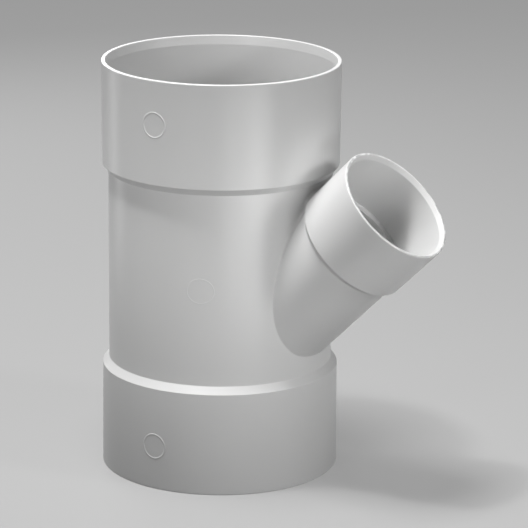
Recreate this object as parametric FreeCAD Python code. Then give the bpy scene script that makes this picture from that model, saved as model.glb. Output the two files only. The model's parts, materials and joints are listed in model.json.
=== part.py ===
"""Lateral wye fitting: one moulded plastic body that joins three pipes.

A straight run has a socket at each end. A smaller branch leaves the run at an angle and ends
in a socket of its own. Each socket has a flared mouth for the pipe to find its way in, a
straight wall that grips it, and a ledge that stops it.

Millimetres. The origin is at the centre of the lower mouth, +Z goes up the run's axis, and
the branch leans towards +X.
"""
import FreeCAD, Part
import math
import os

Vector = FreeCAD.Vector

# Pipes that the fitting takes, by outside diameter, and the gap round them
run_pipe_diameter = 213.36
branch_pipe_diameter = 107.06
socket_clearance = 0.5

# Run: two equal sockets on one tube
run_socket_depth = 94.4
run_stop_ledge = 7.23
run_wall = 5.4
run_hub_wall = 4.5
run_hub_draft = 0.5
run_shoulder_length = 6.5
run_mouth_land = 3.6
run_lead_depth = 8.7

# Branch: the same features in its own sizes
branch_socket_depth = 58.0
branch_stop_ledge = 6.13
branch_wall = 5.4
branch_hub_wall = 4.7
branch_hub_draft = 0.5
branch_mouth_land = 2.4
branch_lead_depth = 4.4

# Plastic behind a socket's ledge, measured to the hub's back edge
stop_backing = 2.7

# Where the branch leaves the run
branch_angle = 45.0
heel_gap = 14.4
crotch_gap = 9.6
hub_tuck = 0.9

# In the crotch the branch's shoulder leans off the run's wall by this many degrees
shoulder_splay = 3.0

# Blends outside and inside where the tubes meet, and the bevel round each mouth
junction_fillet = 2.0
waterway_fillet = 1.2
rim_bevel = 0.5

# The branch's shoulder starts in a hollow this much rounder than the fillet that runs through it
shoulder_foot_easing = 1.0

# Round witness marks that the mould leaves on the front of both hubs and of the tube
mark_diameter = 24.6
mark_line_width = 1.4
mark_line_height = 0.35
hub_mark_inset = 41.3
tube_mark_offset = 39.7

# A cutter reaches this far past the face that it opens
cut_margin = 5.0


class Hub:
    """Radii of one socketed end and of the tube behind it."""

    def __init__(self, pipe_diameter, stop_ledge, wall, hub_wall, draft, land):
        self.socket = (pipe_diameter + socket_clearance) / 2
        self.bore = self.socket - stop_ledge
        self.tube = self.bore + wall
        self.mouth = self.socket + hub_wall
        self.back = self.mouth - draft
        self.lead = self.mouth - land


run = Hub(run_pipe_diameter, run_stop_ledge, run_wall, run_hub_wall, run_hub_draft, run_mouth_land)
branch = Hub(branch_pipe_diameter, branch_stop_ledge, branch_wall, branch_hub_wall,
             branch_hub_draft, branch_mouth_land)

lean = math.radians(branch_angle)
run_hub_length = run_socket_depth + stop_backing
run_end_length = run_hub_length + run_shoulder_length
branch_hub_length = branch_socket_depth + stop_backing

# The branch tube's underside comes out of the run this far above the lower shoulder
heel_height = run_end_length + heel_gap
heel_along = (run.tube - branch.tube * math.cos(lean)) / math.sin(lean)
branch_height = heel_height - heel_along * math.cos(lean) + branch.tube * math.sin(lean)

# On the upper side the branch hub's back edge is tucked just under the run's surface
branch_hub_back = (run.tube - hub_tuck + branch.back * math.cos(lean)) / math.sin(lean)
branch_reach = branch_hub_back + branch_hub_length
shoulder_slope = lean - math.radians(shoulder_splay)
branch_shoulder_length = (branch.back - branch.tube) / math.tan(shoulder_slope)

# The upper shoulder starts above the crotch between branch hub and run
crotch_along = (run.tube + branch.back * math.cos(lean)) / math.sin(lean)
crotch_height = branch_height + crotch_along * math.cos(lean) + branch.back * math.sin(lean)
overall_height = crotch_height + crotch_gap + run_end_length


def corner_arc(before, corner, after, radius):
    """Arc of the given radius that rounds the corner between two straight runs."""
    to_before = (before - corner).normalize()
    to_after = (after - corner).normalize()
    half_angle = to_before.getAngle(to_after) / 2
    inward = (to_before + to_after).normalize()
    reach = radius / math.tan(half_angle)
    to_crest = radius / math.sin(half_angle) - radius
    start = corner + to_before * reach
    crest = corner + inward * to_crest
    end = corner + to_after * reach
    return Part.Arc(start, crest, end).toShape(), start, end


def turned(outline, seam_side):
    """Solid turned about Z from (radius, height) points, where a third number rounds the corner.

    Its seam lies at +X or -X.
    """
    corners = [Vector(seam_side * point[0], 0, point[1]) for point in outline]
    arcs = []
    for index, corner in enumerate(corners):
        after = corners[(index + 1) % len(corners)]
        if len(outline[index]) == 3:
            arcs.append(corner_arc(corners[index - 1], corner, after, outline[index][2]))
        else:
            arcs.append((None, corner, corner))
    edges = []
    for index, (arc, _, leave) in enumerate(arcs):
        if arc:
            edges.append(arc)
        edges.append(Part.LineSegment(leave, arcs[(index + 1) % len(arcs)][1]).toShape())
    face = Part.Face(Part.Wire(edges))
    return Part.Solid(face.revolve(Vector(0, 0, 0), Vector(0, 0, 1), 360))


def on_branch(shape):
    """The shape moved from the run's axis to the branch's, with its height now along the branch."""
    turn = FreeCAD.Rotation(Vector(0, 1, 0), branch_angle)
    shape.Placement = FreeCAD.Placement(Vector(0, 0, branch_height), turn)
    return shape


def run_outside(growth=0.0):
    """Both hubs, their shoulders and the tube between, grown all round by a skin."""
    far_back = overall_height - run_hub_length
    far_foot = overall_height - run_end_length
    outline = [
        (0, 0),
        (run.mouth + growth - rim_bevel, 0),
        (run.mouth + growth, rim_bevel),
        (run.back + growth, run_hub_length),
        (run.tube + growth, run_end_length),
        (run.tube + growth, far_foot),
        (run.back + growth, far_back),
        (run.mouth + growth, overall_height - rim_bevel),
        (run.mouth + growth - rim_bevel, overall_height),
        (0, overall_height),
    ]
    return turned(outline, -1)


def run_core():
    """The way through the run: two sockets with flared mouths, and the bore between their ledges."""
    far_stop = overall_height - run_socket_depth
    outline = [
        (0, -cut_margin),
        (run.lead, -cut_margin),
        (run.lead, 0),
        (run.socket, run_lead_depth),
        (run.socket, run_socket_depth),
        (run.bore, run_socket_depth),
        (run.bore, far_stop),
        (run.socket, far_stop),
        (run.socket, overall_height - run_lead_depth),
        (run.lead, overall_height),
        (run.lead, overall_height + cut_margin),
        (0, overall_height + cut_margin),
    ]
    return turned(outline, -1)


def branch_outside():
    """Branch tube, shoulder and hub, from the run's axis out to the branch's mouth."""
    outline = [
        (0, 0),
        (branch.tube, 0),
        (branch.tube, branch_hub_back - branch_shoulder_length, junction_fillet + shoulder_foot_easing),
        (branch.back, branch_hub_back),
        (branch.mouth, branch_reach - rim_bevel),
        (branch.mouth - rim_bevel, branch_reach),
        (0, branch_reach),
    ]
    return on_branch(turned(outline, 1))


def branch_core():
    """The way through the branch, from the run's axis out past the branch's mouth."""
    stop = branch_reach - branch_socket_depth
    outline = [
        (0, 0),
        (branch.bore, 0),
        (branch.bore, stop),
        (branch.socket, stop),
        (branch.socket, branch_reach - branch_lead_depth),
        (branch.lead, branch_reach),
        (branch.lead, branch_reach + cut_margin),
        (0, branch_reach + cut_margin),
    ]
    return on_branch(turned(outline, 1))


def meeting_edges(shape, radius):
    """Edges that lie on the run's cylinder of this radius without circling it or running along it."""
    near = 0.001
    found = []
    for edge in shape.Edges:
        points = edge.discretize(9)
        off_wall = max(abs(math.hypot(p.x, p.y) - radius) for p in points)
        heights = [p.z for p in points]
        turns = [math.atan2(p.y, p.x) for p in points]
        level = max(heights) - min(heights) < near
        upright = max(turns) - min(turns) < near / radius
        if off_wall < near and not level and not upright:
            found.append(edge)
    return found


def outside():
    """The whole outside, with a fillet all round where the branch grows out of the run."""
    whole = run_outside().fuse(branch_outside())
    return whole.makeFillet(junction_fillet, meeting_edges(whole, run.tube))


def waterway():
    """Everything that is hollow, with the edge between the two bores eased."""
    whole = run_core().fuse(branch_core())
    return whole.makeFillet(waterway_fillet, meeting_edges(whole, run.bore))


def witness_mark(side_offset, height):
    """Thin raised ring on the front, as the edge of a round mould insert leaves it."""
    outer = mark_diameter / 2
    place = Vector(side_offset, 0, height)
    towards_front = Vector(0, -1, 0)
    reach = run.mouth + cut_margin
    ring = Part.makeCylinder(outer, reach, place, towards_front)
    ring = ring.cut(Part.makeCylinder(outer - mark_line_width, reach, place, towards_front))
    return ring.common(run_outside(mark_line_height))


def wye_body():
    """The moulded body with its marks, opened by the waterway."""
    marks = [
        witness_mark(0, hub_mark_inset),
        witness_mark(0, overall_height - hub_mark_inset),
        witness_mark(tube_mark_offset, overall_height / 2),
    ]
    return outside().fuse(marks).cut(waterway())


def report(name, shape):
    """Prints what a check by eye needs: sizes, faces and whether the solid is sound."""
    box = shape.BoundBox
    print(name, "solids", len(shape.Solids), "faces", len(shape.Faces), "valid", shape.isValid())
    print("volume", round(shape.Volume / 1000, 1), "cm3")
    print("x", round(box.XMin, 2), round(box.XMax, 2), "y", round(box.YMin, 2), round(box.YMax, 2),
          "z", round(box.ZMin, 2), round(box.ZMax, 2))
    print("overall height", round(overall_height, 3), "branch height", round(branch_height, 3),
          "branch reach", round(branch_reach, 3))


os.makedirs("parts", exist_ok=True)
body = wye_body()
report("wye_body", body)
body.Solids[0].exportStep("parts/wye_body.step")
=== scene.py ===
# %% [markdown]
# # A white moulded wye for drain pipes
# The real thing is one plastic moulding: a straight run with a socket at each end, and a smaller
# socketed branch that leaves it at a slant. We load the engineer's model as a fixed frame, make one
# smooth body in its place, and add the fine lines that a mould leaves on it.

# %% Load the fixed frame
import json
import math
import bmesh
import bpy
from mathutils import Matrix, Vector


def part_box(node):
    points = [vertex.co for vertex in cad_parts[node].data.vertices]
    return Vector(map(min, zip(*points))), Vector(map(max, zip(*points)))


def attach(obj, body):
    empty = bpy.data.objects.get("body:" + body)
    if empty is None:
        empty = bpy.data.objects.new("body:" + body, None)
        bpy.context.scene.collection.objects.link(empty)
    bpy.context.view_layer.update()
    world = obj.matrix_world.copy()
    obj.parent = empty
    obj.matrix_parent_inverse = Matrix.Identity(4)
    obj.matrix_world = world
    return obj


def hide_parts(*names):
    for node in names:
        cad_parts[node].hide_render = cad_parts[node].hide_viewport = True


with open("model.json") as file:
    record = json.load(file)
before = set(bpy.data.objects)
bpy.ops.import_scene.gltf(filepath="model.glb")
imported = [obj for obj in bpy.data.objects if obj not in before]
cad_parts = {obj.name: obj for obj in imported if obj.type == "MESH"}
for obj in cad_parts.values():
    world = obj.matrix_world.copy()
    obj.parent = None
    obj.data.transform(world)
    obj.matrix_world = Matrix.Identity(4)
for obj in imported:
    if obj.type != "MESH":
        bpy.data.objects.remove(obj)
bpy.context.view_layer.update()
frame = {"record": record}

MM = 0.001
CM3 = 0.000001

# %% [markdown]
# ## Sizes
# The sockets are what a buyer measures, so their radii, depths and places are read from the record.
# The thin things round them, such as walls, ledges and shoulders, are named here in millimetres.
# Each hub tapers a little towards its back, as drafted mouldings do.

# %% Radii and lengths of one socketed end
mounts = {mount["name"]: mount for mount in frame["record"]["mounts"]}
hub_draft = 0.5 * MM
stop_backing = 2.7 * MM
run_shoulder_length = 6.5 * MM


class End:
    """A socketed end: its radii, and how deep its pipe goes."""

    def __init__(self, mount, ledge, wall, hub_wall, land, lead_depth):
        self.socket = mounts[mount]["dims"]["r_mm"] * MM
        self.depth = mounts[mount]["dims"]["length_mm"] * MM + lead_depth
        self.lead_depth = lead_depth
        self.bore = self.socket - ledge
        self.tube = self.bore + wall
        self.mouth = self.socket + hub_wall
        self.back = self.mouth - hub_draft
        self.lead = self.mouth - land


run = End("run_socket_upper", ledge=7.23 * MM, wall=5.4 * MM, hub_wall=4.5 * MM,
          land=3.6 * MM, lead_depth=8.7 * MM)
branch = End("branch_socket", ledge=6.13 * MM, wall=5.4 * MM, hub_wall=4.7 * MM,
             land=2.4 * MM, lead_depth=4.4 * MM)
run_hub = run.depth + stop_backing
run_shoulder = run_hub + run_shoulder_length
total_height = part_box("wye_body")[1].z
print("run radii, mm:", {name: round(value / MM, 2) for name, value in vars(run).items()})

# %% Where the branch sits
shoulder_splay = math.radians(3)
branch_place = Vector(mounts["branch_socket"]["pos_m"])
branch_axis = Vector(mounts["branch_socket"]["axis"])
lean = math.atan2(branch_axis.x, branch_axis.z)
branch_height = branch_place.z - branch_place.x / math.tan(lean)
branch_middle = branch_place.x / math.sin(lean)
branch_reach = branch_middle + (branch.depth + branch.lead_depth) / 2
branch_hub = branch_reach - branch.depth - stop_backing
shoulder_slope = lean - shoulder_splay
branch_foot = branch_hub - (branch.back - branch.tube) / math.tan(shoulder_slope)
print("branch leaves at", round(branch_height / MM, 2), "mm and reaches", round(branch_reach / MM, 2), "mm")

# %% [markdown]
# ## Outlines with eased corners
# Light shows a moulding by its edges: a real edge is a tiny arc, and a flat beside it stays flat.
# So each corner of an outline becomes an arc of a few points, with one more point just before and
# after it. That last pair keeps smooth shading from bleeding out of the arc into the long walls.

# %% Ease the corners of an outline
hold = 0.35 * MM
arc_steps = 4


def arc(centre, start, end, steps):
    """Points round a centre from start to end, both included."""
    radius = (start - centre).length
    first = (start - centre).normalized()
    last = (end - centre).normalized()
    return [centre + first.slerp(last, step / steps) * radius for step in range(steps + 1)]


def eased(corners):
    """Points (radius, height) of an outline. A corner with a third number is rounded by it."""
    points = []
    for index, corner in enumerate(corners):
        here = Vector(corner[:2])
        if len(corner) == 2:
            points.append(here)
            continue
        back = (Vector(corners[index - 1][:2]) - here).normalized()
        ahead = (Vector(corners[index + 1][:2]) - here).normalized()
        half = back.angle(ahead) / 2
        centre = here + (back + ahead).normalized() * corner[2] / math.sin(half)
        start = here + back * corner[2] / math.tan(half)
        end = here + ahead * corner[2] / math.tan(half)
        points.append(start + back * hold)
        points.extend(arc(centre, start, end, arc_steps))
        points.append(end + ahead * hold)
    return points


# %% Outline of one end of the run, from the tube's outside round the mouth to the bore
seam_gap = 1.5 * MM
run_outline = eased([
    (run.tube, run_shoulder + seam_gap),
    (run.tube, run_shoulder, 1.0 * MM),
    (run.back, run_hub, 0.7 * MM),
    (run.mouth, 0.0, 0.85 * MM),
    (run.lead, 0.0, 0.5 * MM),
    (run.socket, run.lead_depth, 2.0 * MM),
    (run.socket, run.depth, 0.5 * MM),
    (run.bore, run.depth, 0.5 * MM),
    (run.bore, run.depth + seam_gap),
])
print("run outline:", len(run_outline), "points")

# %% Outline of the branch, outside and inside
branch_outside = eased([
    (branch.tube, branch_foot / 2),
    (branch.tube, branch_foot, 3.0 * MM),
    (branch.back, branch_hub, 0.5 * MM),
    (branch.mouth, branch_reach, 0.85 * MM),
    ((branch.mouth + branch.lead) / 2, branch_reach),
])
branch_inside = eased([
    ((branch.mouth + branch.lead) / 2, branch_reach),
    (branch.lead, branch_reach, 0.4 * MM),
    (branch.socket, branch_reach - branch.lead_depth, 1.0 * MM),
    (branch.socket, branch_reach - branch.depth, 0.5 * MM),
    (branch.bore, branch_reach - branch.depth, 0.5 * MM),
    (branch.bore, branch_reach - branch.depth - seam_gap),
])[1:]
print("branch outline:", len(branch_outside) + len(branch_inside), "points")

# %% [markdown]
# ## The seam where branch and run meet
# This is the part that takes the most skill. A toolmaker rolls a small ball cutter round the joint,
# and we do the same in the flat: at each turn round the branch we roll a ball in along the run's
# wall until it touches the branch, and the arc between the two touches is the blend. The same
# turns then give the columns of both surfaces, so they meet point for point and nothing leaks.

# %% A ball that rests on the run's wall
junction_fillet = 2.0 * MM
waterway_fillet = 1.2 * MM
fillet_steps = 6
probe = 0.01 * MM


def wall_along(radius, turn, wall):
    """How far along the branch's axis a line at this radius and turn comes out of the run's wall."""
    half_chord = math.sqrt(wall ** 2 - (radius * math.sin(turn)) ** 2)
    return (half_chord + radius * math.cos(turn) * math.cos(lean)) / math.sin(lean)


def ball_on_wall(radius, turn, wall, ball):
    """Where a ball touches the wall at this radius, and the ball's centre outside it."""
    touch = Vector((radius, wall_along(radius, turn, wall)))
    rise = (wall_along(radius + probe, turn, wall) - touch.y) / probe
    return touch, touch + Vector((-rise, 1.0)).normalized() * ball


# %% Roll the ball in until it touches the branch
start_outside = branch.mouth + 8 * junction_fillet
inward_step = 0.5 * MM
halvings = 24


def nearest(outline, point):
    """Distance from a point to an outline, the place there, and its distance along the outline."""
    best = None
    passed = 0.0
    for start, end in zip(outline, outline[1:]):
        along = end - start
        share = min(max((point - start).dot(along) / along.length_squared, 0.0), 1.0)
        place = start + along * share
        gap = (point - place).length
        if best is None or gap < best[0]:
            best = (gap, place, passed + along.length * share)
        passed += along.length
    return best


def ball_at(radius, turn):
    """The ball at this radius: its touch on the wall, its centre, and what of the branch is nearest."""
    touch, centre = ball_on_wall(radius, turn, run.tube, junction_fillet)
    return touch, centre, nearest(branch_outside, centre)


def first_touch(turn):
    """The ball stepped inwards past its first touch, then brought back to it by halving the gap."""
    radius = start_outside
    while ball_at(radius, turn)[2][0] > junction_fillet:
        radius -= inward_step
    low, high = radius, radius + inward_step
    for _ in range(halvings):
        radius = (low + high) / 2
        touch, centre, found = ball_at(radius, turn)
        if found[0] > junction_fillet:
            high = radius
        else:
            low = radius
    return touch, centre, found


# %% One column of the branch's outside
column_length = len(branch_outside) + fillet_steps + 1


def remaining(start):
    """How many of the outline's points lie past this one."""
    return len(branch_outside) - 1 - branch_outside.index(start)


def outside_column(turn):
    """Blend arc, then the branch's outside from where the ball touched it.

    The first point after the blend is repeated in place of the points that the blend swallowed, so
    that all columns are equally long. The doubles merge when the sheet is wrapped.
    """
    touch, centre, (_, place, passed) = first_touch(turn)
    column = arc(centre, touch, place, fillet_steps)
    along = 0.0
    held = None
    for start, end in zip(branch_outside, branch_outside[1:]):
        length = (end - start).length
        if held is None and along + length >= passed + hold:
            held = start + (end - start) * (passed + hold - along) / length
            column.extend([held] * (column_length - len(column) - remaining(start)))
        if held is not None:
            column.append(end)
        along += length
    return column


# %% One column of its inside, and all the columns together
columns = 240
bore_halvings = 32


def inside_column(turn):
    """The branch's inside down to its bore, then the eased edge onto the run's bore."""
    low, high = branch.bore / 2, branch.bore + 2 * waterway_fillet
    for _ in range(bore_halvings):
        radius = (low + high) / 2
        touch, centre = ball_on_wall(radius, turn, run.bore, waterway_fillet)
        if centre.x > branch.bore + waterway_fillet:
            high = radius
        else:
            low = radius
    leave = Vector((branch.bore, centre.y))
    return branch_inside + [leave + Vector((0, hold))] + arc(centre, leave, touch, fillet_steps)


turns = [2 * math.pi * index / columns for index in range(columns + 1)]
branch_columns = [outside_column(turn) + inside_column(turn) for turn in turns[:-1]]
branch_columns.append(branch_columns[0])
print("branch sheet:", columns, "columns of", {len(column) for column in branch_columns}, "points")

# %% [markdown]
# ## Flat sheets
# Now we lay every surface out flat, like paper before it is rolled: across is the angle round an
# axis, then come the radius and the height. The branch is one sheet. The run's wall is a plain
# sheet at the back, and in front a patch whose rows spread from the hole out to a square frame.
# The rows stand closer near the hole, where the shape changes fastest.

# %% The hole in a wall, and the frame round it
frame_half = 34
frame_side = columns // 2 - 2 * frame_half
patch_rows = 14
row_crowding = 1.6
step = 2 * math.pi / columns


def hole_edge(row, wall):
    """(angle, height) on the run's wall for each turn round the branch."""
    edge = []
    for turn, column in zip(turns, branch_columns):
        radius, along = column[row]
        across = along * math.sin(lean) - radius * math.cos(turn) * math.cos(lean)
        angle = math.atan2(radius * math.sin(turn), across)
        height = branch_height + along * math.cos(lean) + radius * math.cos(turn) * math.sin(lean)
        edge.append((angle, height))
    return edge


def square_frame(low, high):
    """(angle, height) round the patch's frame, starting above the hole and turning the same way."""
    side = frame_half * step
    top = [(index * step, high) for index in range(frame_half)]
    right = [(side, high + (low - high) * index / frame_side) for index in range(frame_side)]
    bottom = [(side - index * step, low) for index in range(2 * frame_half)]
    left = [(-side, low + (high - low) * index / frame_side) for index in range(frame_side)]
    last = [(-side + index * step, high) for index in range(frame_half + 1)]
    return top + right + bottom + left + last


def wall_sheets(wall, low, high, row):
    """The run's wall between two heights: the patch round the hole, and the plain sheet behind."""
    patch = []
    for index in range(patch_rows + 1):
        spread = (index / patch_rows) ** row_crowding
        line = []
        for near, far in zip(hole_edge(row, wall), square_frame(low, high)):
            line.append((near[0] + (far[0] - near[0]) * spread, wall,
                         near[1] + (far[1] - near[1]) * spread))
        patch.append(line)
    behind = []
    for index in range(frame_side + 1):
        height = high + (low - high) * index / frame_side
        behind.append([(column * step, wall, height)
                       for column in range(frame_half, columns - frame_half + 1)])
    return [patch, behind]


# %% Lay out all the sheets
def round_sheet(outline, flip=None):
    """Rows of a sheet that goes all the way round; flip turns it end for end at that height."""
    rows = []
    for radius, height in outline:
        place = height if flip is None else flip - height
        rows.append([(turn, radius, place) for turn in turns])
    return rows


run_grids = [round_sheet(run_outline), round_sheet(run_outline, total_height)]
run_grids += wall_sheets(run.tube, run_outline[0].y, total_height - run_outline[0].y, 0)
run_grids += wall_sheets(run.bore, run_outline[-1].y, total_height - run_outline[-1].y, -1)
branch_grid = [[(math.pi - turn, *column[row]) for turn, column in zip(turns, branch_columns)]
               for row in range(len(branch_columns[0]))]


def flat_object(name, grids):
    """One flat mesh object from grids, each a list of rows of points."""
    points = []
    faces = []
    for rows in grids:
        width = len(rows[0])
        for row in range(len(rows) - 1):
            for column in range(width - 1):
                corner = len(points) + row * width + column
                faces.append((corner, corner + 1, corner + width + 1, corner + width))
        for line in rows:
            points.extend(line)
    mesh = bpy.data.meshes.new(name)
    mesh.from_pydata(points, [], faces)
    made = bpy.data.objects.new(name, mesh)
    bpy.context.scene.collection.objects.link(made)
    print(name, "flat:", len(points), "points,", len(faces), "faces")
    return made


run_sheet = flat_object("run_sheet", run_grids)
branch_sheet = flat_object("branch_sheet", [branch_grid])

# %% [markdown]
# ## A helper for node trees
# Geometry and finishes are both made of nodes. One short helper adds a node, sets it up and wires
# its inputs, so that each tree below reads as a list of what it does. A tree for geometry has named
# inputs for its sizes, and ends in real geometry that carries its material.

# %% Add a node to a tree
def add(tree, kind, settings=None, inputs=None):
    """New node with its settings, and its inputs linked to sockets or set to values."""
    node = tree.nodes.new(kind)
    for name, value in (settings or {}).items():
        setattr(node, name, value)
    for key, value in (inputs or {}).items():
        if isinstance(value, bpy.types.NodeSocket):
            tree.links.new(value, node.inputs[key])
        else:
            node.inputs[key].default_value = value
    return node


# %% Start a geometry tree, end it, and turn its result into a plain mesh
def geometry_tree(name, sockets):
    """Tree with a geometry in and out and these named inputs, and the node that holds them."""
    tree = bpy.data.node_groups.new(name, "GeometryNodeTree")
    tree.interface.new_socket("Geometry", in_out="INPUT", socket_type="NodeSocketGeometry")
    for label, kind in sockets.items():
        tree.interface.new_socket(label, in_out="INPUT", socket_type="NodeSocket" + kind)
    tree.interface.new_socket("Geometry", in_out="OUTPUT", socket_type="NodeSocketGeometry")
    return tree, tree.nodes.new("NodeGroupInput")


def finish_tree(tree, geometry, material):
    """Ends a tree as the export needs it: real geometry with its material."""
    real = add(tree, "GeometryNodeRealizeInstances", inputs={0: geometry})
    coated = add(tree, "GeometryNodeSetMaterial", inputs={
        "Geometry": real.outputs[0], "Material": material})
    add(tree, "NodeGroupOutput", inputs={0: coated.outputs[0]})


def applied(thing, tree, values):
    """The plain mesh that a tree makes of an object; the object and its modifier go."""
    modifier = thing.modifiers.new(tree.name, "NODES")
    modifier.node_group = tree
    for item in tree.interface.items_tree:
        if item.in_out == "INPUT" and item.name in values:
            modifier[item.identifier] = values[item.name]
    graph = bpy.context.evaluated_depsgraph_get()
    mesh = bpy.data.meshes.new_from_object(thing.evaluated_get(graph))
    bpy.data.objects.remove(thing)
    return mesh


# %% [markdown]
# ## White rigid PVC
# The finish is a satin moulded skin over white plastic. A flat colour would look like paint, so the
# colour drifts a little where the melt flowed, the sheen varies with it, and a very fine bump
# stands for the texture of the mould. All patterns sit on the object's own coordinates.

# %% Patterns from noise
def noise(tree, place, scale, detail):
    """A cloudy pattern with this many waves to the metre, as a socket."""
    settings = {"Vector": place, "Scale": scale, "Detail": detail}
    return add(tree, "ShaderNodeTexNoise", inputs=settings).outputs["Fac"]


def spread_over(tree, value, low, high):
    """A pattern that runs from 0 to 1, brought to the range from low to high."""
    ranged = add(tree, "ShaderNodeMapRange", inputs={"Value": value, "To Min": low, "To Max": high})
    return ranged.outputs[0]


def colour_mix(tree, share, first, second):
    """Goes from the first colour to the second; a Mix node keeps its two colours in inputs 6 and 7."""
    mixed = add(tree, "ShaderNodeMix", {"data_type": "RGBA"}, {"Factor": share, 6: first, 7: second})
    return mixed.outputs[2]


# %% The white plastic
flow_scale = 9.0
cloud_scale = 60.0
grain_scale = 1400.0
greyer_white = (0.645, 0.645, 0.642, 1.0)
purer_white = (0.685, 0.685, 0.683, 1.0)
glossiest, dullest = 0.26, 0.34


def white_pvc():
    """Satin white plastic with the slight unevenness of a moulding."""
    material = bpy.data.materials.new("white_pvc")
    material.use_nodes = True
    tree = material.node_tree
    shader = tree.nodes["Principled BSDF"]
    place = add(tree, "ShaderNodeTexCoord").outputs["Object"]
    flow = noise(tree, place, flow_scale, 3.0)
    cloud = noise(tree, place, cloud_scale, 4.0)
    grain = noise(tree, place, grain_scale, 2.0)
    tree.links.new(colour_mix(tree, flow, greyer_white, purer_white), shader.inputs["Base Color"])
    tree.links.new(spread_over(tree, cloud, glossiest, dullest), shader.inputs["Roughness"])
    soft = add(tree, "ShaderNodeBump", inputs={"Height": cloud, "Strength": 0.12, "Distance": 0.1 * MM})
    fine = add(tree, "ShaderNodeBump", inputs={
        "Height": grain, "Strength": 0.04, "Distance": 0.05 * MM, "Normal": soft.outputs[0]})
    tree.links.new(fine.outputs[0], shader.inputs["Normal"])
    shader.inputs["IOR"].default_value = 1.53
    return material


pvc = white_pvc()
print("finish:", pvc.name, "with", len(pvc.node_tree.nodes), "nodes")

# %% [markdown]
# ## Wrap the sheets into the body
# The body follows a rule, so a node tree makes it: it reads each flat point as an angle, a radius
# and a height, bends it round an axis, and leans that axis over. The run stands upright and the
# branch leans, and both go through the same tree. Their edges then weld into one closed skin.

# %% The tree that wraps a flat sheet round an axis
def wrapping_tree():
    """Bends a flat sheet of (angle, radius, height) round an axis that leans and starts at a height."""
    tree, given = geometry_tree("wrap_flat_sheet", {
        "Lean": "Float", "Height": "Float", "Weld": "Float", "Finish": "Material"})
    place = add(tree, "GeometryNodeInputPosition")
    flat = add(tree, "ShaderNodeSeparateXYZ", inputs={0: place.outputs[0]})
    angle, radius, height = flat.outputs
    cosine = add(tree, "ShaderNodeMath", {"operation": "COSINE"}, {0: angle})
    sine = add(tree, "ShaderNodeMath", {"operation": "SINE"}, {0: angle})
    across = add(tree, "ShaderNodeMath", {"operation": "MULTIPLY"}, {0: cosine.outputs[0], 1: radius})
    aside = add(tree, "ShaderNodeMath", {"operation": "MULTIPLY"}, {0: sine.outputs[0], 1: radius})
    rolled = add(tree, "ShaderNodeCombineXYZ", inputs={
        0: across.outputs[0], 1: aside.outputs[0], 2: height})
    leaned = add(tree, "ShaderNodeVectorRotate", {"rotation_type": "Y_AXIS"}, {
        "Vector": rolled.outputs[0], "Angle": given.outputs["Lean"]})
    start = add(tree, "ShaderNodeCombineXYZ", inputs={2: given.outputs["Height"]})
    lifted = add(tree, "ShaderNodeVectorMath", {"operation": "ADD"}, {
        0: leaned.outputs[0], 1: start.outputs[0]})
    moved = add(tree, "GeometryNodeSetPosition", inputs={
        "Geometry": given.outputs["Geometry"], "Position": lifted.outputs[0]})
    welded = add(tree, "GeometryNodeMergeByDistance", inputs={
        "Geometry": moved.outputs[0], "Distance": given.outputs["Weld"]})
    finish_tree(tree, welded.outputs[0], given.outputs["Finish"])
    return tree


wrap = wrapping_tree()
weld = 0.004 * MM
skins = [
    applied(run_sheet, wrap, {"Lean": 0.0, "Height": 0.0, "Weld": weld, "Finish": pvc}),
    applied(branch_sheet, wrap, {"Lean": lean, "Height": branch_height, "Weld": weld, "Finish": pvc}),
]
print("wrapped skins:", [len(skin.vertices) for skin in skins], "points")


# %% Weld the two skins into one closed body
def closed_mesh(name, skins):
    """One mesh from skins whose edges meet, with smooth faces that all point outwards."""
    shape = bmesh.new()
    for skin in skins:
        shape.from_mesh(skin)
    bmesh.ops.remove_doubles(shape, verts=shape.verts, dist=weld)
    bmesh.ops.recalc_face_normals(shape, faces=shape.faces)
    for face in shape.faces:
        face.smooth = True
        face.material_index = 0
    open_edges = sum(1 for edge in shape.edges if not edge.is_manifold)
    volume = shape.calc_volume(signed=True)
    mesh = bpy.data.meshes.new(name)
    shape.to_mesh(mesh)
    shape.free()
    mesh.materials.append(pvc)
    print(name, len(mesh.polygons), "faces, open edges", open_edges, "volume, cm3",
          round(volume / CM3, 1))
    return mesh


# %% Give a finished piece its place on the object
def placed(name, mesh, stands_for="wye_body"):
    """A finished piece that rides on the body, and hides the CAD part that it stands for."""
    piece = bpy.data.objects.new(name, mesh)
    bpy.context.scene.collection.objects.link(piece)
    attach(piece, "root")
    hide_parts(stands_for)
    return piece


body = placed("moulded_body", closed_mesh("moulded_body", skins))

# %% [markdown]
# ## Marks of the mould
# Round inserts and the parting of a mould print thin raised lines. They could be cut into the body's
# mesh, but its faces are far larger than the lines. So each is a wire that lies on the wall, sunk so
# deep that only a low ridge shows. Rays dropped on the wall find where it goes, so the line follows
# hubs, shoulders and tubes by itself.

# %% A ridge that lies on a wall
def ridge(half_width, proud):
    """Wire radius and sink that leave a ridge of this half width and height."""
    radius = (half_width ** 2 + proud ** 2) / (2 * proud)
    return {"Wire radius": radius, "Sink": radius - proud}


# %% Lay a wire on a wall
wire_sides = 12
farthest_look = 1.0
wire_sockets = {
    "Wall": "Object", "Look": "Vector", "Wire radius": "Float", "Sink": "Float", "Finish": "Material"}


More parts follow.
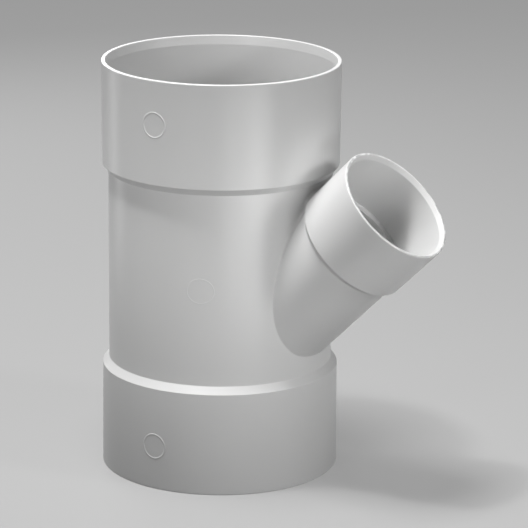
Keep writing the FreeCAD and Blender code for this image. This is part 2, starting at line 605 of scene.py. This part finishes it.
def lay_wire(tree, given, line):
    """Drops a line on the wall along the look direction, sinks it, and sweeps a wire along it."""
    wall = add(tree, "GeometryNodeObjectInfo", inputs={"Object": given.outputs["Wall"]})
    ray = add(tree, "GeometryNodeRaycast", inputs={
        "Target Geometry": wall.outputs["Geometry"], "Ray Direction": given.outputs["Look"],
        "Ray Length": farthest_look})
    inward = add(tree, "ShaderNodeVectorMath", {"operation": "SCALE"}, {
        0: ray.outputs["Hit Normal"], "Scale": given.outputs["Sink"]})
    seat = add(tree, "ShaderNodeVectorMath", {"operation": "SUBTRACT"}, {
        0: ray.outputs["Hit Position"], 1: inward.outputs[0]})
    laid = add(tree, "GeometryNodeSetPosition", inputs={"Geometry": line, "Position": seat.outputs[0]})
    wire = add(tree, "GeometryNodeCurvePrimitiveCircle", inputs={
        "Resolution": wire_sides, "Radius": given.outputs["Wire radius"]})
    swept = add(tree, "GeometryNodeCurveToMesh", inputs={
        "Curve": laid.outputs[0], "Profile Curve": wire.outputs[0], "Fill Caps": True})
    finish_tree(tree, swept.outputs[0], given.outputs["Finish"])


# %% Guides for the lines, and a finished line from them
def guide(name, points, edges=()):
    """Bare points, and edges if there are any, for a tree to build on."""
    mesh = bpy.data.meshes.new(name)
    mesh.from_pydata(points, edges, [])
    made = bpy.data.objects.new(name, mesh)
    bpy.context.scene.collection.objects.link(made)
    return made


def mould_line(name, guides, tree, values):
    """The finished ridges that a tree lays over the body from these guides."""
    mesh = applied(guides, tree, {"Wall": body, "Finish": pvc, **values})
    mesh.polygons.foreach_set("use_smooth", [True] * len(mesh.polygons))
    print(name, len(mesh.polygons), "faces")
    return placed(name, mesh)


# %% A tree that lays a ring at each guide point
ring_sides = 96
ring_turn = (math.pi / 2, 0.0, 0.0)


def round_mark_tree():
    """Puts a ring at each guide point and lays a wire along it."""
    tree, given = geometry_tree("round_marks", {"Ring radius": "Float", **wire_sockets})
    ring = add(tree, "GeometryNodeCurvePrimitiveCircle", inputs={
        "Resolution": ring_sides, "Radius": given.outputs["Ring radius"]})
    rings = add(tree, "GeometryNodeInstanceOnPoints", inputs={
        "Points": given.outputs["Geometry"], "Instance": ring.outputs[0], "Rotation": ring_turn})
    real = add(tree, "GeometryNodeRealizeInstances", inputs={0: rings.outputs[0]})
    lay_wire(tree, given, real.outputs[0])
    return tree


# %% Round marks on the front of both hubs and of the tube
mark_radius = 11.6 * MM
mark_inset = 41.3 * MM
hub_mark_aside = -1.6 * MM
tube_mark_aside = 39.7 * MM
stand_off = 0.2
from_front = {"Look": (0.0, 1.0, 0.0), "Ring radius": mark_radius}
hub_mark_ridge = ridge(half_width=1.0 * MM, proud=0.34 * MM)
tube_mark_ridge = ridge(half_width=0.5 * MM, proud=0.14 * MM)
round_marks = round_mark_tree()
hub_points = [(hub_mark_aside, -stand_off, mark_inset),
              (hub_mark_aside, -stand_off, total_height - mark_inset)]
mould_line("hub_marks", guide("hub_marks", hub_points), round_marks, {**from_front, **hub_mark_ridge})
tube_point = [(tube_mark_aside, -stand_off, total_height / 2)]
mould_line("tube_mark", guide("tube_mark", tube_point), round_marks, {**from_front, **tube_mark_ridge})


# %% A tree that lays a wire along upright guide lines
def parting_tree():
    """Cuts each guide line into short steps and lays a wire along it."""
    tree, given = geometry_tree("parting_line", {"Step": "Float", **wire_sockets})
    line = add(tree, "GeometryNodeMeshToCurve", inputs={"Mesh": given.outputs["Geometry"]})
    cut = add(tree, "GeometryNodeResampleCurve", {"mode": "LENGTH"}, {
        "Curve": line.outputs[0], "Length": given.outputs["Step"]})
    lay_wire(tree, given, cut.outputs[0])
    return tree


def upright(name, across, spans):
    """Guide lines that stand upright at this place across, one for each span of heights."""
    points = [(across, 0.0, height) for span in spans for height in span]
    return guide(name, points, [(2 * index, 2 * index + 1) for index in range(len(spans))])


# %% The parting line, where the two halves of the mould met
rim_stop = 1.5 * MM
crotch_stop = 3 * rim_stop
back_stop = 21 * MM
past_branch = 2 * stand_off
mouth_low = branch_height + branch_reach * math.cos(lean) - branch.mouth * math.sin(lean)
mouth_high = branch_height + branch_reach * math.cos(lean) + branch.mouth * math.sin(lean)
hub_start = branch_height + branch_hub * math.cos(lean) + branch.back * math.sin(lean)
parting = parting_tree()
parting_ridge = {"Step": 1.0 * MM, **ridge(half_width=0.4 * MM, proud=0.1 * MM)}
look_right = {"Look": (1.0, 0.0, 0.0), **parting_ridge}
look_left = {"Look": (-1.0, 0.0, 0.0), **parting_ridge}
spans = [(back_stop, total_height - back_stop)]
mould_line("parting_line_back", upright("parting_line_back", -stand_off, spans), parting, look_right)
spans = [(rim_stop, mouth_low - rim_stop), (hub_start + crotch_stop, mouth_high - rim_stop)]
mould_line("parting_line_branch", upright("parting_line_branch", past_branch, spans), parting, look_left)
spans = [(total_height - run_hub + rim_stop, total_height - rim_stop)]
beside_hub = run.mouth + rim_stop
mould_line("parting_line_hub", upright("parting_line_hub", beside_hub, spans), parting, look_left)

# %% [markdown]
# ## The room: floor, lights and camera
# A white thing is shown by its shades, so the room is plain and the light comes from few sides. The
# camera sees the floor as pale, and so do reflections, but little light bounces off it: a floor
# that is truly white would fill every shade on the underside.

# %% What is seen, and what only gives light
def seen_directly(tree):
    """A socket that is 1 for rays from the camera, off gloss or through glass, and 0 for light."""
    ray_kind = add(tree, "ShaderNodeLightPath").outputs
    mirrored = add(tree, "ShaderNodeMath", {"operation": "MAXIMUM"}, {
        0: ray_kind["Is Camera Ray"], 1: ray_kind["Is Glossy Ray"]}).outputs[0]
    return add(tree, "ShaderNodeMath", {"operation": "MAXIMUM"}, {
        0: mirrored, 1: ray_kind["Is Transmission Ray"]}).outputs[0]


# %% Pale floor
floor_half = 8.0
floor_seen = (0.20, 0.20, 0.20, 1.0)
floor_bounced = (0.02, 0.02, 0.02, 1.0)
floor_glow = 0.25


def floor_paint():
    """Matt paint that the camera sees as pale, while little light bounces off it onto the part."""
    material = bpy.data.materials.new("pale_floor")
    material.use_nodes = True
    tree = material.node_tree
    shader = tree.nodes["Principled BSDF"]
    seen = seen_directly(tree)
    glow = add(tree, "ShaderNodeMath", {"operation": "MULTIPLY"}, {0: seen, 1: floor_glow})
    tree.links.new(colour_mix(tree, seen, floor_bounced, floor_seen), shader.inputs["Base Color"])
    tree.links.new(glow.outputs[0], shader.inputs["Emission Strength"])
    shader.inputs["Emission Color"].default_value = (1.0, 1.0, 1.0, 1.0)
    shader.inputs["Roughness"].default_value = 0.9
    return material


def plain_floor():
    """A wide pale floor under the fitting."""
    low, high = -floor_half, floor_half
    corners = [(low, low, 0), (high, low, 0), (high, high, 0), (low, high, 0)]
    mesh = bpy.data.meshes.new("floor")
    mesh.from_pydata(corners, [], [(0, 1, 2, 3)])
    floor = bpy.data.objects.new("floor", mesh)
    bpy.context.scene.collection.objects.link(floor)
    mesh.materials.append(floor_paint())


plain_floor()
print("floor:", 2 * floor_half, "m wide, seen at", floor_seen[0], "and bounced at", floor_bounced[0])

# %% [markdown]
# ## Lamps
# Most of the light falls steeply from a broad lamp and a small one above, so that rims, shoulders and
# the top of the branch catch a bright edge while the upright walls stay calmer. A third lamp, on the
# branch's side, lights the run past the branch, and a low one opens the shade under the branch. The
# satin skin would mirror a strong lamp near the floor as a hard stripe, so the fills are weak, and
# grids keep their light on the middle of the fitting. One of them stands far to the left and is
# meant to be mirrored, as a thin soft stripe down that side. The last lamp is for the back.

# %% Soft lamps
lamp_aim = Vector((0.0, 0.0, 0.6 * total_height))
bare = 180
gridded = 32


def soft_lamp(name, place, size, watts, spread):
    """Lamp of this width and height that looks at the fitting and spreads by this many degrees."""
    light = bpy.data.lights.new(name, "AREA")
    light.shape = "RECTANGLE"
    light.size, light.size_y = size
    light.energy = watts
    light.spread = math.radians(spread)
    lamp = bpy.data.objects.new(name, light)
    lamp.location = place
    lamp.rotation_euler = (lamp.location - lamp_aim).to_track_quat("Z", "Y").to_euler()
    bpy.context.scene.collection.objects.link(lamp)
    return lamp


def round_about(azimuth, distance, height):
    """A place this far from the run's axis; azimuth counts from the front towards the branch."""
    turn = math.radians(azimuth)
    return distance * math.sin(turn), -distance * math.cos(turn), height


lamps = [
    soft_lamp("key_lamp", round_about(-34, 0.53, 2.12), (0.14, 0.14), 14, bare),
    soft_lamp("top_lamp", round_about(-30, 0.3, 2.2), (0.6, 0.6), 43, bare),
    soft_lamp("right_lamp", round_about(93, 1.7, 0.85), (0.28, 0.28), 9, bare),
    soft_lamp("low_lamp", round_about(50, 0.75, 0.12), (0.4, 0.2), 0.84, bare),
    soft_lamp("front_fill", round_about(0, 0.9, 0.45), (0.35, 0.35), 0.105, gridded),
    soft_lamp("left_fill", round_about(-30, 0.9, 0.45), (0.35, 0.35), 0.06, gridded),
    soft_lamp("branch_fill", round_about(70, 0.9, 0.12), (0.35, 0.2), 0.06, gridded),
    soft_lamp("left_streak", round_about(-89, 0.9, 0.14), (0.25, 0.3), 0.02, gridded),
    soft_lamp("back_lamp", round_about(230, 1.6, 0.9), (0.7, 0.7), 6, bare),
]
print("lamps, W:", {lamp.name: round(lamp.data.energy, 2) for lamp in lamps})

# %% The room beyond the floor
room_light = 0.03
room_seen = 0.35
world = bpy.data.worlds.new("room")
bpy.context.scene.world = world
world.use_nodes = True
background = world.node_tree.nodes["Background"]
background.inputs["Color"].default_value = (1.0, 1.0, 1.0, 1.0)
room_level = spread_over(world.node_tree, seen_directly(world.node_tree), room_light, room_seen)
world.node_tree.links.new(room_level, background.inputs["Strength"])
print("room:", room_light, "of light,", room_seen, "where it is seen")

# %% [markdown]
# ## Camera
# The picture to match was taken from a little above, with a long lens that hardly shows perspective.
# The camera's angles, its distance and the point that it aims at were found by fitting the three
# mouths and the straight sides of the fitting to it.

# %% Camera at the photograph's angle
camera_azimuth = math.radians(31.56)
camera_elevation = math.radians(15.91)
camera_roll = math.radians(0.52)
camera_distance = 2.9888
camera_aim = Vector((35.2 * MM, 21.0 * MM, 191.4 * MM))
back = Vector((math.sin(camera_azimuth) * math.cos(camera_elevation),
               -math.cos(camera_azimuth) * math.cos(camera_elevation), math.sin(camera_elevation)))
right = Vector((0.0, 0.0, 1.0)).cross(back).normalized()
axes = Matrix((right, back.cross(right), back)).transposed()
lens = bpy.data.cameras.new("camera")
lens.lens = 216.25
lens.sensor_width = 36.0
camera = bpy.data.objects.new("camera", lens)
upright_camera = Matrix.Translation(camera_aim + back * camera_distance) @ axes.to_4x4()
camera.matrix_world = upright_camera @ Matrix.Rotation(camera_roll, 4, "Z")
bpy.context.scene.collection.objects.link(camera)
bpy.context.scene.camera = camera
bpy.context.scene.view_settings.view_transform = "Standard"
print("camera:", [round(value, 3) for value in camera.location], "m, lens", lens.lens, "mm")
